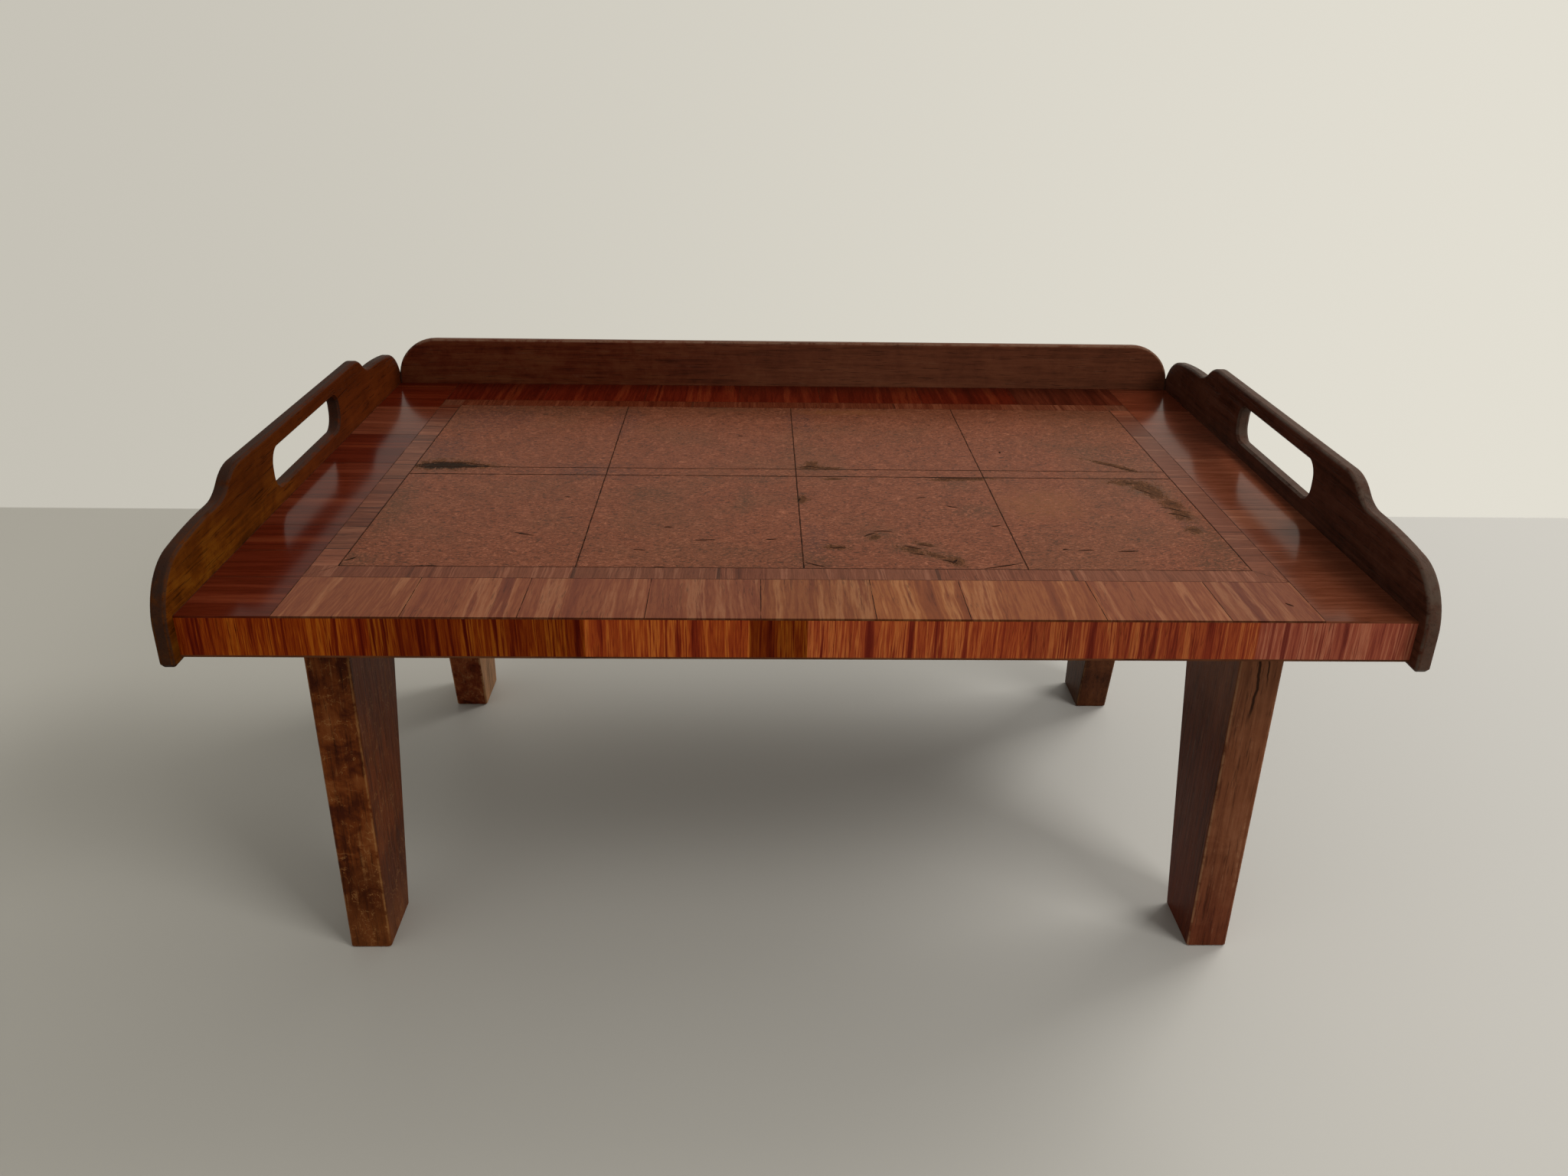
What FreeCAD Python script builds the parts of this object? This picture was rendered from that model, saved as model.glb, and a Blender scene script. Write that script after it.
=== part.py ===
import FreeCAD, Part
import math
import os

# Low table with a tray top. Millimetres; X runs along the table, Y to the back, Z up.
# The floor is at zero, and the origin lies on it below the middle of the table.

# Driving dimensions of the table
slab_width = 840.0           # between the inner faces of the two end boards
slab_depth = 578.0           # front edge to back edge
slab_height = 335.0          # floor to the face of the tray
slab_thickness = 31.0
veneer_thickness = 1.5
board_thickness = 11.0       # end boards
rail_thickness = 10.0        # the end boards run past the slab by as much, front and back

# Inlay on the tray
wide_band_width = 64.0
narrow_band_width = 20.0
middle_strip_width = 19.0
middle_strip_share = 0.512   # its centre line, as a share of the depth of the field
column_shares = (0.0, 0.256, 0.505, 0.752, 1.0)
front_band_shares = (0.0, 0.12, 0.23, 0.35, 0.46, 0.57, 0.66, 0.79, 0.91, 1.0)
back_band_shares = (0.0, 0.14, 0.29, 0.43, 0.55, 0.70, 0.84, 1.0)
left_band_shares = (0.0, 0.11, 0.194, 0.282, 0.538, 0.683, 0.843, 1.0)
right_band_shares = (0.0, 0.209, 0.289, 0.363, 0.59, 0.72, 0.855, 1.0)
edge_veneer_shares = (0.0, 0.15, 0.322, 0.456, 0.503, 0.68, 0.87, 1.0)

# End boards: a level handle, a shoulder, a cove and a long sweep down to a round nose
handle_rise = 60.0           # handle above the face of the tray
handle_half_length = 144.0
shelf_rise = 42.5            # foot of the cove above the face of the tray
shoulder_radius = 40.0
cove_radius = 36.0
sweep_fall = 4.5             # crown of the nose below the foot of the cove
nose_radius = 45.0
toe_clip = 3.0               # corner taken off the foot of the nose
board_drop = 4.0             # boards and rail below the underside of the slab
arris_radius = 3.0

# Hand slots
slot_length = 168.0
left_slot_shift = 1.0        # middle of the slot to the back of the middle of the board
right_slot_shift = -9.0
slot_height = 32.0
slot_sill = 13.5             # lower edge above the face of the tray
slot_corner_radius = 13.0
slot_bevel = 2.0

# Back rail
rail_rise = 48.0
rail_corner_radius = 42.0

# Legs: planks with a plumb outer face, tapered from the inner side
leg_width = 33.0
leg_top_depth = 125.0
leg_foot_depth = 57.0
leg_side_inset = 56.0        # outer side face in from the end of the slab
leg_front_inset = 62.0       # plumb face in from the front or back of the slab
leg_arris_radius = 2.5
foot_chamfer = 1.5

# Joints: loose tongues along the boards, and tenons on the heads of the legs
tongue_thickness = 6.0
tongue_in_board = 5.0
tongue_in_slab = 11.0
tongue_stop = 36.0           # the grooves stop this far short of the slab's corners
tenon_thickness = 13.0
tenon_height = 18.0
tenon_shoulder = 20.0        # at each narrow end of the leg's head
joint_clearance = 0.1        # on each flank of a tongue or tenon
joint_end_clearance = 0.6    # at the bottom of its groove or mortise
overrun = 5.0                # how far a cutting body runs past the face that it cuts
match = 0.05                 # how near an edge lies to a plane to count as in it

# Heights and half sizes that follow
underside_height = slab_height - slab_thickness
board_bottom = underside_height - board_drop
core_bottom = underside_height + veneer_thickness
core_top = slab_height - veneer_thickness
core_middle = (core_bottom + core_top) / 2
half_width = slab_width / 2
half_depth = slab_depth / 2
board_half_length = half_depth + rail_thickness
field_half_width = half_width - wide_band_width - narrow_band_width
field_half_depth = half_depth - wide_band_width - narrow_band_width
band_half_width = field_half_width + narrow_band_width
band_half_depth = field_half_depth + narrow_band_width
strip_middle = (2 * middle_strip_share - 1) * field_half_depth

axis_x = FreeCAD.Vector(1, 0, 0)
axis_y = FreeCAD.Vector(0, 1, 0)
axis_z = FreeCAD.Vector(0, 0, 1)


def save(name, solids):
    shape = Part.makeCompound(solids) if len(solids) > 1 else solids[0]
    shape.exportStep("parts/" + name + ".step")
    print(name, len(solids), "solids,", round(shape.Volume / 1000, 1), "cm3")


def box(x_range, y_range, z_range):
    size = [high - low for low, high in (x_range, y_range, z_range)]
    corner = FreeCAD.Vector(x_range[0], y_range[0], z_range[0])
    return Part.makeBox(size[0], size[1], size[2], corner)


def spread(low, high, shares):
    return [low + share * (high - low) for share in shares]


def pairs(places):
    return list(zip(places[:-1], places[1:]))


def mirror_left(shape):
    return shape.mirror(FreeCAD.Vector(0, 0, 0), axis_x)


def mirror_front(shape):
    return shape.mirror(FreeCAD.Vector(0, 0, 0), axis_y)


# Outlines: an outline is a list of edges, drawn in one plane by a function that
# turns two coordinates into a point

def arc(place, centre, radius, start, end):
    angles = (start, (start + end) / 2, end)
    points = [place(centre[0] + radius * math.cos(a), centre[1] + radius * math.sin(a))
              for a in angles]
    return Part.Arc(*points).toShape()


def line(place, start, end):
    return Part.LineSegment(place(*start), place(*end)).toShape()


def rounded_rectangle(place, low, high, radius):
    quarter = math.pi / 2
    corners = [(high[0] - radius, high[1] - radius), (low[0] + radius, high[1] - radius),
               (low[0] + radius, low[1] + radius), (high[0] - radius, low[1] + radius)]
    arcs = [arc(place, corner, radius, quarter * i, quarter * (i + 1))
            for i, corner in enumerate(corners)]
    sides = [Part.LineSegment(a.Vertexes[-1].Point, b.Vertexes[0].Point).toShape()
             for a, b in zip(arcs, arcs[1:] + arcs[:1])]
    return wire_of(arcs + sides)


def wire_of(edges):
    return Part.Wire(Part.sortEdges(edges)[0])


def soften(shape, radius, wanted):
    return shape.makeFillet(radius, [edge for edge in shape.Edges if wanted(edge)])


def bevel(shape, size, wanted):
    return shape.makeChamfer(size, [edge for edge in shape.Edges if wanted(edge)])


def lies_in_plane(edge, axis, places):
    box_of = edge.BoundBox
    low = (box_of.XMin, box_of.YMin, box_of.ZMin)[axis]
    high = (box_of.XMax, box_of.YMax, box_of.ZMax)[axis]
    return high - low < match and any(abs(low - place) < match for place in places)


# Slab

def end_groove():
    reach = half_depth - tongue_stop
    half = tongue_thickness / 2 + joint_clearance
    return box((half_width - tongue_in_slab - joint_end_clearance,
                half_width + tongue_in_board + joint_end_clearance),
               (-reach - joint_end_clearance, reach + joint_end_clearance),
               (core_middle - half, core_middle + half))


def rail_groove():
    reach = half_width - tongue_stop
    half = tongue_thickness / 2 + joint_clearance
    return box((-reach - joint_end_clearance, reach + joint_end_clearance),
               (half_depth - tongue_in_slab - joint_end_clearance,
                half_depth + tongue_in_board + joint_end_clearance),
               (core_middle - half, core_middle + half))


def end_tongue():
    reach = half_depth - tongue_stop
    return box((half_width - tongue_in_slab, half_width + tongue_in_board), (-reach, reach),
               (core_middle - tongue_thickness / 2, core_middle + tongue_thickness / 2))


def rail_tongue():
    reach = half_width - tongue_stop
    return box((-reach, reach), (half_depth - tongue_in_slab, half_depth + tongue_in_board),
               (core_middle - tongue_thickness / 2, core_middle + tongue_thickness / 2))


def tenon(clearance, end_clearance):
    middle_x = half_width - leg_side_inset - leg_width / 2
    outer_y = half_depth - leg_front_inset
    half = tenon_thickness / 2 + clearance
    return box((middle_x - half, middle_x + half),
               (outer_y - leg_top_depth + tenon_shoulder - clearance,
                outer_y - tenon_shoulder + clearance),
               (underside_height, underside_height + tenon_height + end_clearance))


def mortises():
    hole = tenon(joint_clearance, joint_end_clearance)
    left_hole = mirror_left(hole)
    return [hole, left_hole, mirror_front(hole), mirror_front(left_hole)]


def slab_core():
    core = box((-half_width, half_width), (-half_depth + veneer_thickness, half_depth),
               (core_bottom, core_top))
    groove = end_groove()
    return core.cut([groove, mirror_left(groove), rail_groove()] + mortises())


def underside_veneer():
    sheet = box((-half_width, half_width), (-half_depth, half_depth),
                (underside_height, core_bottom))
    return sheet.cut(mortises())


def front_edge_veneer():
    joints = spread(-half_width, half_width, edge_veneer_shares)
    return [box(length, (-half_depth, -half_depth + veneer_thickness), (core_bottom, core_top))
            for length in pairs(joints)]


# Inlay: leaves of veneer laid edge to edge on the core

def leaf(x_range, y_range):
    return box(x_range, y_range, (core_top, slab_height))


def burr_panels(y_range):
    joints = spread(-field_half_width, field_half_width, column_shares)
    return [leaf(column, y_range) for column in pairs(joints)]


def band_along_x(half_length, y_range, shares):
    joints = spread(-half_length, half_length, shares)
    return [leaf(length, y_range) for length in pairs(joints)]


def band_along_y(x_range, half_length, shares):
    joints = spread(-half_length, half_length, shares)
    return [leaf(x_range, length) for length in pairs(joints)]


def save_inlay():
    strip = (strip_middle - middle_strip_width / 2, strip_middle + middle_strip_width / 2)
    rows = {"front": (-field_half_depth, strip[0]), "back": (strip[1], field_half_depth)}
    for row, y_range in rows.items():
        for i, panel in enumerate(burr_panels(y_range)):
            save("burr_panel_%s_%d" % (row, i + 1), [panel])
    save("middle_strip", [leaf((-field_half_width, field_half_width), strip)])

    field_x = (-field_half_width, field_half_width)
    field_y = (-field_half_depth, field_half_depth)
    narrow_x = (field_half_width, band_half_width)
    narrow_y = (field_half_depth, band_half_depth)
    wide_x = (band_half_width, half_width)
    wide_y = (band_half_depth, half_depth)
    square = leaf(narrow_x, narrow_y)
    left_square = mirror_left(square)
    save("band_corner_squares", [square, left_square, mirror_front(square),
                                 mirror_front(left_square)])
    save("narrow_band_back", [leaf(field_x, narrow_y)])
    save("narrow_band_front", [mirror_front(leaf(field_x, narrow_y))])
    save("narrow_band_right", [leaf(narrow_x, field_y)])
    save("narrow_band_left", [mirror_left(leaf(narrow_x, field_y))])
    save("wide_band_front", [mirror_front(piece) for piece in
                             band_along_x(band_half_width, wide_y, front_band_shares)])
    save("wide_band_back", band_along_x(band_half_width, wide_y, back_band_shares))
    save("wide_band_left", [mirror_left(piece) for piece in
                            band_along_y(wide_x, half_depth, left_band_shares)])
    save("wide_band_right", band_along_y(wide_x, half_depth, right_band_shares))


# End boards and back rail

def half_board_outline(place):
    handle_top = slab_height + handle_rise
    shelf = slab_height + shelf_rise
    quarter = math.pi / 2
    turn = math.acos(1 - (handle_rise - shelf_rise) / (shoulder_radius + cove_radius))
    cove_end = handle_half_length + (shoulder_radius + cove_radius) * math.sin(turn)
    nose_centre = (board_half_length - nose_radius, shelf - sweep_fall - nose_radius)
    run = nose_centre[0] - cove_end
    sweep_radius = nose_radius + (run ** 2 + sweep_fall ** 2) / (2 * sweep_fall)
    sweep_centre = (cove_end, shelf - sweep_radius)
    meet = math.atan2(nose_centre[1] - sweep_centre[1], run)
    heel = (board_half_length, board_bottom + toe_clip)
    toe = (board_half_length - toe_clip, board_bottom)
    return [
        line(place, (0, handle_top), (handle_half_length, handle_top)),
        arc(place, (handle_half_length, handle_top - shoulder_radius), shoulder_radius,
            quarter, quarter - turn),
        arc(place, (cove_end, shelf + cove_radius), cove_radius,
            -quarter - turn, -quarter),
        arc(place, sweep_centre, sweep_radius, quarter, meet),
        arc(place, nose_centre, nose_radius, meet, 0),
        line(place, (board_half_length, nose_centre[1]), heel),
        line(place, heel, toe),
        line(place, toe, (0, board_bottom)),
    ]


def end_board_blank():
    def place(y, z):
        return FreeCAD.Vector(half_width, y, z)

    def place_mirrored(y, z):
        return FreeCAD.Vector(half_width, -y, z)

    outline = wire_of(half_board_outline(place) + half_board_outline(place_mirrored))
    face = Part.Face(outline)
    board = face.extrude(axis_x * board_thickness)
    faces_at = (half_width, half_width + board_thickness)
    return soften(board, arris_radius, lambda edge: lies_in_plane(edge, 0, faces_at))


def slot_cutter(shift):
    def place(y, z):
        return FreeCAD.Vector(half_width - overrun, y + shift, z)

    sill = slab_height + slot_sill
    outline = rounded_rectangle(place, (-slot_length / 2, sill),
                                (slot_length / 2, sill + slot_height), slot_corner_radius)
    return Part.Face(outline).extrude(axis_x * (board_thickness + 2 * overrun))


def right_end_board(shift):
    blank = end_board_blank()
    cutter = slot_cutter(shift)
    board = blank.cut(cutter)
    window = cutter.BoundBox
    window.enlarge(match)
    rims_at = (half_width, half_width + board_thickness)
    board = bevel(board, slot_bevel, lambda edge: lies_in_plane(edge, 0, rims_at)
                  and window.isInside(edge.CenterOfMass))
    return board.cut(end_groove())


def back_rail():
    def place(x, z):
        return FreeCAD.Vector(x, half_depth, z)

    quarter = math.pi / 2
    top = slab_height + rail_rise
    shoulder = half_width - rail_corner_radius
    spring = top - rail_corner_radius
    edges = [line(place, (-shoulder, top), (shoulder, top)),
             line(place, (-half_width, board_bottom), (half_width, board_bottom))]
    for side in (-1, 1):
        end = side * half_width
        start = quarter if side > 0 else 2 * quarter
        edges.append(arc(place, (side * shoulder, spring), rail_corner_radius,
                         start - quarter, start))
        edges.append(line(place, (end, spring), (end, board_bottom)))
    rail = Part.Face(wire_of(edges)).extrude(axis_y * rail_thickness)
    faces_at = (half_depth, half_depth + rail_thickness)
    rail = soften(rail, arris_radius, lambda edge: lies_in_plane(edge, 1, faces_at))
    return rail.cut(rail_groove())


# Legs

def back_right_leg():
    outer_x = half_width - leg_side_inset
    outer_y = half_depth - leg_front_inset

    def place(y, z):
        return FreeCAD.Vector(outer_x - leg_width, y, z)

    corners = [(outer_y, 0), (outer_y, underside_height),
               (outer_y - leg_top_depth, underside_height), (outer_y - leg_foot_depth, 0)]
    points = [place(*corner) for corner in corners]
    leg = Part.Face(Part.makePolygon(points + points[:1])).extrude(axis_x * leg_width)
    leg = soften(leg, leg_arris_radius,
                 lambda edge: edge.BoundBox.ZLength > leg_foot_depth)
    leg = bevel(leg, foot_chamfer, lambda edge: lies_in_plane(edge, 2, (0,)))
    return leg.fuse(tenon(0, 0)).removeSplitter()


def save_legs():
    leg = back_right_leg()
    left_leg = mirror_left(leg)
    save("leg_back_right", [leg])
    save("leg_back_left", [left_leg])
    save("leg_front_right", [mirror_front(leg)])
    save("leg_front_left", [mirror_front(left_leg)])


os.makedirs("parts", exist_ok=True)
save("top_core", [slab_core()])
save("underside_veneer", [underside_veneer()])
save("front_edge_veneer", front_edge_veneer())
save_inlay()
save("right_end_board", [right_end_board(right_slot_shift)])
save("left_end_board", [mirror_left(right_end_board(left_slot_shift))])
save("back_rail", [back_rail()])
save("right_board_tongue", [end_tongue()])
save("left_board_tongue", [mirror_left(end_tongue())])
save("back_rail_tongue", [rail_tongue()])
save_legs()
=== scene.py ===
import math

import bpy
from mathutils import Matrix, Vector


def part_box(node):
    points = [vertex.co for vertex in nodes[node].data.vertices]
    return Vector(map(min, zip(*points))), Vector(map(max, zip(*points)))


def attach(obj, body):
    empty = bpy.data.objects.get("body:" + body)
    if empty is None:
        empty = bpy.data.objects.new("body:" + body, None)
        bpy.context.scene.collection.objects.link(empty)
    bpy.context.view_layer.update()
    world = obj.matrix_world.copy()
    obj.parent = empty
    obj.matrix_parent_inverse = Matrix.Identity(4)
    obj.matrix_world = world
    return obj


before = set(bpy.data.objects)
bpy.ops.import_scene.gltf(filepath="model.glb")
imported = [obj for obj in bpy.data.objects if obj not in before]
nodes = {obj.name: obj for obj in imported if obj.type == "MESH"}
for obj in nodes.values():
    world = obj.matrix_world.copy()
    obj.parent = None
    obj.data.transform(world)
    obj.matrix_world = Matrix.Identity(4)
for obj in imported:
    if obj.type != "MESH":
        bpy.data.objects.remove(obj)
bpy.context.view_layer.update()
print("table loaded:", len(nodes), "nodes")

noiseMiddle = 0.5    # the mean value of every noise


class Wire:
    # one socket of a node tree; sums and products of wires add Math nodes
    def __init__(self, graph, socket):
        self.graph = graph
        self.socket = socket

    def maths(self, operation, other=0.0):
        return self.graph.node("ShaderNodeMath", {"operation": operation}, {0: self, 1: other})

    def __add__(self, other):
        return self.maths("ADD", other)

    __radd__ = __add__

    def __sub__(self, other):
        return self.maths("SUBTRACT", other)

    def __rsub__(self, other):
        return self.graph.node("ShaderNodeMath", {"operation": "SUBTRACT"}, {0: other, 1: self})

    def __mul__(self, other):
        return self.maths("MULTIPLY", other)

    __rmul__ = __mul__

    def __truediv__(self, other):
        return self.maths("DIVIDE", other)

    def __pow__(self, other):
        return self.maths("POWER", other)

    def __abs__(self):
        return self.maths("ABSOLUTE")

    def __gt__(self, other):
        return self.maths("GREATER_THAN", other)

    def most(self, other):
        return self.maths("MAXIMUM", other)

    def least(self, other):
        return self.maths("MINIMUM", other)

    def swing(self, width):
        # a noise made to swing to both sides of zero
        return (self - noiseMiddle) * width


class Graph:
    # a node tree under construction
    def __init__(self, tree):
        self.tree = tree
        self.tree.nodes.clear()

    def node(self, kind, settings=None, sockets=None, output=0):
        made = self.tree.nodes.new(kind)
        for key, value in (settings or {}).items():
            if key == "stops":
                self.setStops(made.color_ramp, value)
            elif key == "steps":
                made.color_ramp.interpolation = value
            else:
                setattr(made, key, value)
        for key, value in (sockets or {}).items():
            if isinstance(value, Wire):
                self.tree.links.new(value.socket, made.inputs[key])
            else:
                made.inputs[key].default_value = value
        return Wire(self, made.outputs[output]) if len(made.outputs) else None

    def outlets(self, wire):
        return {socket.name: Wire(self, socket) for socket in wire.socket.node.outputs}

    def setStops(self, ramp, stops):
        while len(ramp.elements) > 1:
            ramp.elements.remove(ramp.elements[-1])
        ramp.elements[0].position = stops[0][0]
        ramp.elements[0].color = (*stops[0][1], 1.0)
        for position, colour in stops[1:]:
            ramp.elements.new(position).color = (*colour, 1.0)

    def split(self, vector):
        parts = self.node("ShaderNodeSeparateXYZ", sockets={0: vector})
        return list(self.outlets(parts).values())

    def join(self, x, y, z=0.0):
        return self.node("ShaderNodeCombineXYZ", sockets={0: x, 1: y, 2: z})

    def noise(self, vector, scale, detail=2.0, rough=0.5, twist=0.0, seed=0.0):
        return self.node("ShaderNodeTexNoise", {"noise_dimensions": "4D"},
                         {"Vector": vector, "Scale": scale, "Detail": detail,
                          "Roughness": rough, "Distortion": twist, "W": seed})

    def ease(self, value, low, high):
        # 0 at low, 1 at high, smooth between; low may be the greater
        return self.node("ShaderNodeMapRange", {"interpolation_type": "SMOOTHSTEP"},
                         {0: value, 1: low, 2: high, 3: 0.0, 4: 1.0})


# the tint that lacquer gives to reflections: none, or that of yellowed lacquer
clearLacquer = (1.0, 1.0, 1.0)
amberLacquer = (1.0, 0.72, 0.52)
lacquerIor = 1.45


class Paint(Graph):
    # one material; its coordinates are the object's own, in metres
    def __init__(self, name, owner=None):
        self.material = owner or bpy.data.materials.new(name)
        self.material.use_nodes = True
        super().__init__(self.material.node_tree)

    def start(self):
        self.place = self.node("ShaderNodeTexCoord", output="Object")
        self.x, self.y, self.z = self.split(self.place)
        return self

    def cells(self, vector, scale):
        # 0 in the middle of each cell
        return self.node("ShaderNodeTexVoronoi", {}, {"Vector": vector, "Scale": scale},
                         "Distance")

    def ramp(self, factor, stops, steps="LINEAR"):
        return self.node("ShaderNodeValToRGB", {"steps": steps, "stops": stops}, {0: factor})

    def mix(self, factor, first, second):
        first, second = [(*tint, 1.0) if isinstance(tint, tuple) else tint
                         for tint in (first, second)]
        # sockets 6 and 7 of this node take the colours, and its output 2 gives one
        return self.node("ShaderNodeMix", {"data_type": "RGBA"},
                         {0: factor, 6: first, 7: second}, 2)

    def shade(self, colour, amount):
        # a colour made darker or lighter by a grey amount
        return self.node("ShaderNodeVectorMath", {"operation": "MULTIPLY"},
                         {0: colour, 1: self.join(amount, amount, amount)})

    def oval(self, centre, halfSizes, turn):
        # 0 in the middle of an oval, 1 on its rim
        local = self.node("ShaderNodeMapping", {"vector_type": "TEXTURE"},
                          {"Vector": self.place, "Location": centre,
                           "Rotation": (0.0, 0.0, math.radians(turn)), "Scale": halfSizes})
        return self.node("ShaderNodeVectorMath", {"operation": "LENGTH"}, {0: local}, "Value")

    def finish(self, colour, roughness, gloss, height, depth, amber=clearLacquer):
        relief = self.node("ShaderNodeBump", {}, {"Distance": depth, "Height": height})
        surface = self.node("ShaderNodeBsdfPrincipled", {}, {
            "Base Color": colour, "Roughness": roughness, "IOR": lacquerIor,
            "Specular IOR Level": gloss, "Specular Tint": (*amber, 1.0), "Normal": relief})
        self.node("ShaderNodeOutputMaterial", {}, {0: surface})
        return self.material


def tone(red, green, blue):
    # a screen colour, 0 to 255, as the linear one that sockets take
    return tuple(c / 255 / 12.92 if c <= 10 else ((c / 255 + 0.055) / 1.055) ** 2.4
                 for c in (red, green, blue))


def dress(material, *names):
    for name in names:
        slots = nodes[name].data.materials
        if len(slots) == 0:
            slots.append(material)
        for i in range(len(slots)):
            slots[i] = material


def mm(*sizes):
    # sizes in millimetres, as the metres of the scene
    return tuple(size / 1000 for size in sizes)


def layered(*layers):
    # noises laid over each other about their middle value, each with its weight
    figure = noiseMiddle
    for noise, weight in layers:
        figure = noise.swing(weight) + figure
    return figure


# the tray, measured off the loaded solids
leafColumns = 4
slabLow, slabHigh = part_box("underside_veneer")
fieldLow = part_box("burr_panel_front_1")[0]
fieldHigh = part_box("burr_panel_back_%d" % leafColumns)[1]
stripLow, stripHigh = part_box("middle_strip")
trayTop = fieldHigh[2]
leafWidth = (fieldHigh[0] - fieldLow[0]) / leafColumns
fieldMiddle = (stripLow[1] + stripHigh[1]) / 2
jointDigits = 5    # joints closer than a hundredth of a millimetre are one


def jointsOf(name, axis):
    # where the lengths of veneer in one node meet
    return sorted({round(vertex.co[axis], jointDigits) for vertex in nodes[name].data.vertices})


burrDials = {
    "dark": tone(58, 32, 17), "plain": tone(101, 52, 31),
    "light": tone(113, 60, 37), "pale": tone(141, 85, 60),
    # noises: scale, detail, roughness, twist and, for some, a seed
    "flow": (46.0, 4.0, 0.62, 1.8), "fleck": (200.0, 3.0, 0.72, 4.4),
    "grit": (620.0, 2.0, 0.6, 0.4), "broad": (9.0, 2.0, 0.5, 0.6, 3.0),
    "blur": (60.0, 4.0, 0.7, 0.8), "crumb": (340.0, 3.0, 0.75, 1.6, 2.0),
    "ragged": (180.0, 5.0, 0.85, 1.2), "streaky": (170.0, 3.0, 0.7, 1.6),
    "curly": (95.0, 3.0, 0.65, 2.6), "rare": (26.0, 3.0, 0.6, 0.0, 9.0),
    # masks: each goes from 0 at the first value to 1 at the second
    "oliveRange": (0.46, 0.64), "ringRange": (0.1, 1.0), "fanRange": (0.062, 0.03),
    "fanFlow": (0.40, 0.52), "stainRange": (1.25, 0.25), "fleckRange": (0.66, 0.36),
    "haloRange": (2.0, 0.7), "coreRange": (0.9, 0.2), "filledRange": (1.3, 0.7),
    "pitRange": (1.15, 0.75), "streakRange": (0.57, 0.67), "streakFlow": (0.42, 0.60),
    "threadRange": (0.016, 0.004), "curlFlow": (0.40, 0.56), "pipRange": (0.20, 0.06),
    "rareRange": (0.50, 0.60),
    # how strongly each layer shows
    "flowWeight": 1.0, "fleckWeight": 3.0, "gritWeight": 1.0,
    "oliveShare": 0.18, "fanDepth": 0.26, "stainShare": 0.6, "haloShare": 0.22,
    "coreShare": 0.5, "filledShare": 0.66, "pitShare": 0.9, "streak": 0.52, "thread": 0.34,
    "glint": 0.26, "pipShare": 0.7, "backShade": 0.29,
    # how much flecks, streaks, curls and fillings are drawn out along x and y, and slant
    "fleckLength": 0.46, "fleckSlant": 0.10, "streakLength": 0.36, "streakSlant": 0.02,
    "curlLength": 0.5, "lumpLengths": (0.9, 0.6),
    # seeds: leaves of the back row, streaks and curls
    "backSeed": 5.0, "streakSeed": 4.0, "curlSeed": 7.0,
    "toneStops": (0.02, 0.32, 0.62, 0.98), "fillingStops": (0.42, 0.52, 0.62),
    "ringWidth": 0.0055, "ringWander": 0.008, "backReach": 0.07,
    "blurring": 2.2, "raggedness": 5.0, "pitRaggedness": 0.5,
    "threadPlace": 0.49, "glintPlace": 0.52, "pipScale": 110.0,
    "roughness": 0.30, "roughSwing": 0.12, "gloss": 0.05, "bump": 0.00012,
    "olive": tone(78, 56, 34),
    # broad stains: x, y, half sizes in millimetres, and turn
    "stains": {
        "olive": [
            (-330, -195, 24, 18, 30), (10, -190, 26, 20, -35), (-30, -14, 26, 14, 0),
            (-42, -66, 8, 46, 0), (-120, -50, 24, 18, 0), (150, -86, 26, 18, 0),
            (145, -26, 20, 18, 20), (-325, -90, 14, 80, 0), (325, -140, 14, 60, 0),
            (95, -170, 34, 20, -20), (308, -30, 26, 26, 0), (-60, 200, 30, 10, -8),
            (300, 60, 46, 40, -30), (316, -190, 24, 24, 30), (60, -140, 30, 14, 20),
            (-240, 190, 110, 26, 0)],
        "purple": [
            (-178, 4, 44, 24, 0), (-320, 60, 24, 60, 0), (14, -150, 12, 36, 0),
            (318, -112, 10, 22, 0), (10, 160, 16, 44, 8), (-160, 150, 16, 50, 0),
            (-300, 160, 50, 50, 0)],
        "golden": [(208, -70, 42, 44, 0), (60, 190, 60, 10, 0)],
    },
    "stainTones": {"olive": tone(66, 44, 26), "purple": tone(72, 42, 36),
                   "golden": tone(124, 74, 38)},
    # grey fillings in the burr
    "fillings": [
        (-308, 19, 28, 13, 0), (-296, 16, 34, 6, 0), (18, 19, 12, 6, 0), (18, 26, 6, 10, 0),
        (30, 17, 14, 4, 0), (296, -16, 20, 8, -14), (306, -28, 14, 10, -35),
        (312, -44, 9, 15, 12), (317, -66, 9, 14, 8), (319, -90, 8, 16, 0),
        (318, -126, 6, 8, 10), (88, -170, 11, 6, -30), (104, -180, 10, 4, -30),
        (117, -190, 6, 10, 25), (98, -158, 8, 3, -30), (29, -165, 10, 4, -10),
        (287, 37, 18, 3, -38), (303, 22, 14, 4, -48), (6, -62, 5, 8, 0),
        (150, -9, 26, 4, 3), (130, -11, 8, 3, 0), (36, -11, 8, 3, 0), (60, -144, 4, 6, -15),
    ],
    # where a filling has fallen out
    "pits": [(-309, 17, 24, 9, 0), (-294, 16, 22, 4, 0)],
    "fillingCore": tone(34, 22, 12), "fillingDark": tone(46, 28, 15),
    "fillingGrey": tone(76, 51, 30), "fillingPale": tone(112, 72, 46),
    "pitTone": tone(26, 17, 11), "fillingRough": 0.30,
    "knotTone": tone(34, 19, 12),
}


def nearestMark(paint, marks):
    # 0 in the middle of the nearest mark, 1 on its rim
    nearest = 9.0    # further than any pattern looks
    for x, y, halfX, halfY, turn in marks:
        reach = paint.oval((*mm(x, y), trayTop), (*mm(halfX, halfY), 1.0), turn)
        nearest = reach.least(nearest)
    return nearest


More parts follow.
